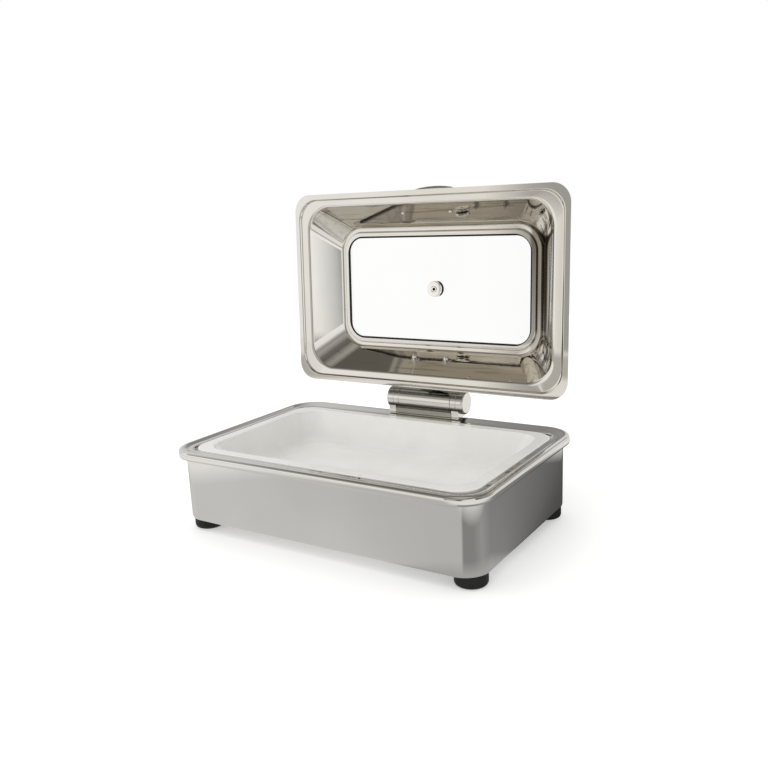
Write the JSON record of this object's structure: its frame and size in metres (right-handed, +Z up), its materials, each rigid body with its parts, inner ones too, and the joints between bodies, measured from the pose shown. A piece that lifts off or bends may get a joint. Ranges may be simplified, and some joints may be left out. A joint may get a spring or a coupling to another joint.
{
  "type": "chafing dish",
  "caption": "Rectangular steel chafing dish with a porcelain food pan and a glass-window lid that opens on a damped rear hinge and stays up by itself.",
  "frame": {"origin": "on the table, under the middle of the outline with the lid open", "axes": "+X to the right along the long side, +Y to the back where the hinge is, +Z up; the front with the lid's handle side faces -Y"},
  "size_m": [0.582, 0.4454, 0.5605],
  "materials": {
    "polished_steel": "mirror-polished stainless steel",
    "plain_steel": "plain bright steel",
    "porcelain": "smooth white glaze",
    "clear_glass": "clear toughened glass",
    "black_rubber": "matt black",
    "cast_aluminium": "plain cast",
    "nylon": "natural white nylon"
  },
  "bodies": {
    "base": {"base_shell": "polished_steel", "rim_frame": "polished_steel", "heat_spreader": "cast_aluminium", "induction_plate": "plain_steel", "hinge_bracket": "polished_steel", "bracket_cover": "polished_steel", "bracket_screw_left": "plain_steel", "bracket_screw_right": "plain_steel", "hinge_cap_left": "polished_steel", "hinge_cap_right": "polished_steel", "hinge_shaft": "plain_steel", "foot_front_left": "black_rubber", "foot_boss_front_left": "plain_steel", "foot_screw_front_left": "plain_steel", "foot_front_right": "black_rubber", "foot_boss_front_right": "plain_steel", "foot_screw_front_right": "plain_steel", "foot_rear_left": "black_rubber", "foot_boss_rear_left": "plain_steel", "foot_screw_rear_left": "plain_steel", "foot_rear_right": "black_rubber", "foot_boss_rear_right": "plain_steel", "foot_screw_rear_right": "plain_steel"},
    "lid": {"hinge_barrel": "polished_steel", "hinge_arm": "polished_steel", "lid_frame": "polished_steel", "vent_cap": "polished_steel", "vent_disc": "polished_steel", "handle": "polished_steel", "handle_screw_left": "polished_steel", "handle_screw_right": "polished_steel", "acorn_nut_left": "polished_steel", "acorn_nut_right": "polished_steel", "arm_washer_left": "polished_steel", "arm_washer_right": "polished_steel", "arm_bolt_left": "plain_steel", "arm_bolt_right": "plain_steel", "window_gasket": "black_rubber", "vent_washer_outer": "black_rubber", "vent_washer_inner": "black_rubber", "damper_cartridge": "cast_aluminium", "hinge_bush_left": "nylon", "hinge_bush_right": "nylon", "window_glass": "clear_glass"},
    "food_pan": {"food_pan": "porcelain"}
  },
  "joints": [
    {"name": "lid_hinge", "type": "hinge", "parent": "base", "child": "lid", "pos_m": [0, 0.1673, 0.1702], "axis": [1, 0, 0], "range_deg": [0, 92.5]},
    {"name": "food_pan_lift", "type": "slide", "parent": "base", "child": "food_pan", "axis": [0, 0, 1], "range_m": [0, 0.2]}
  ]
}
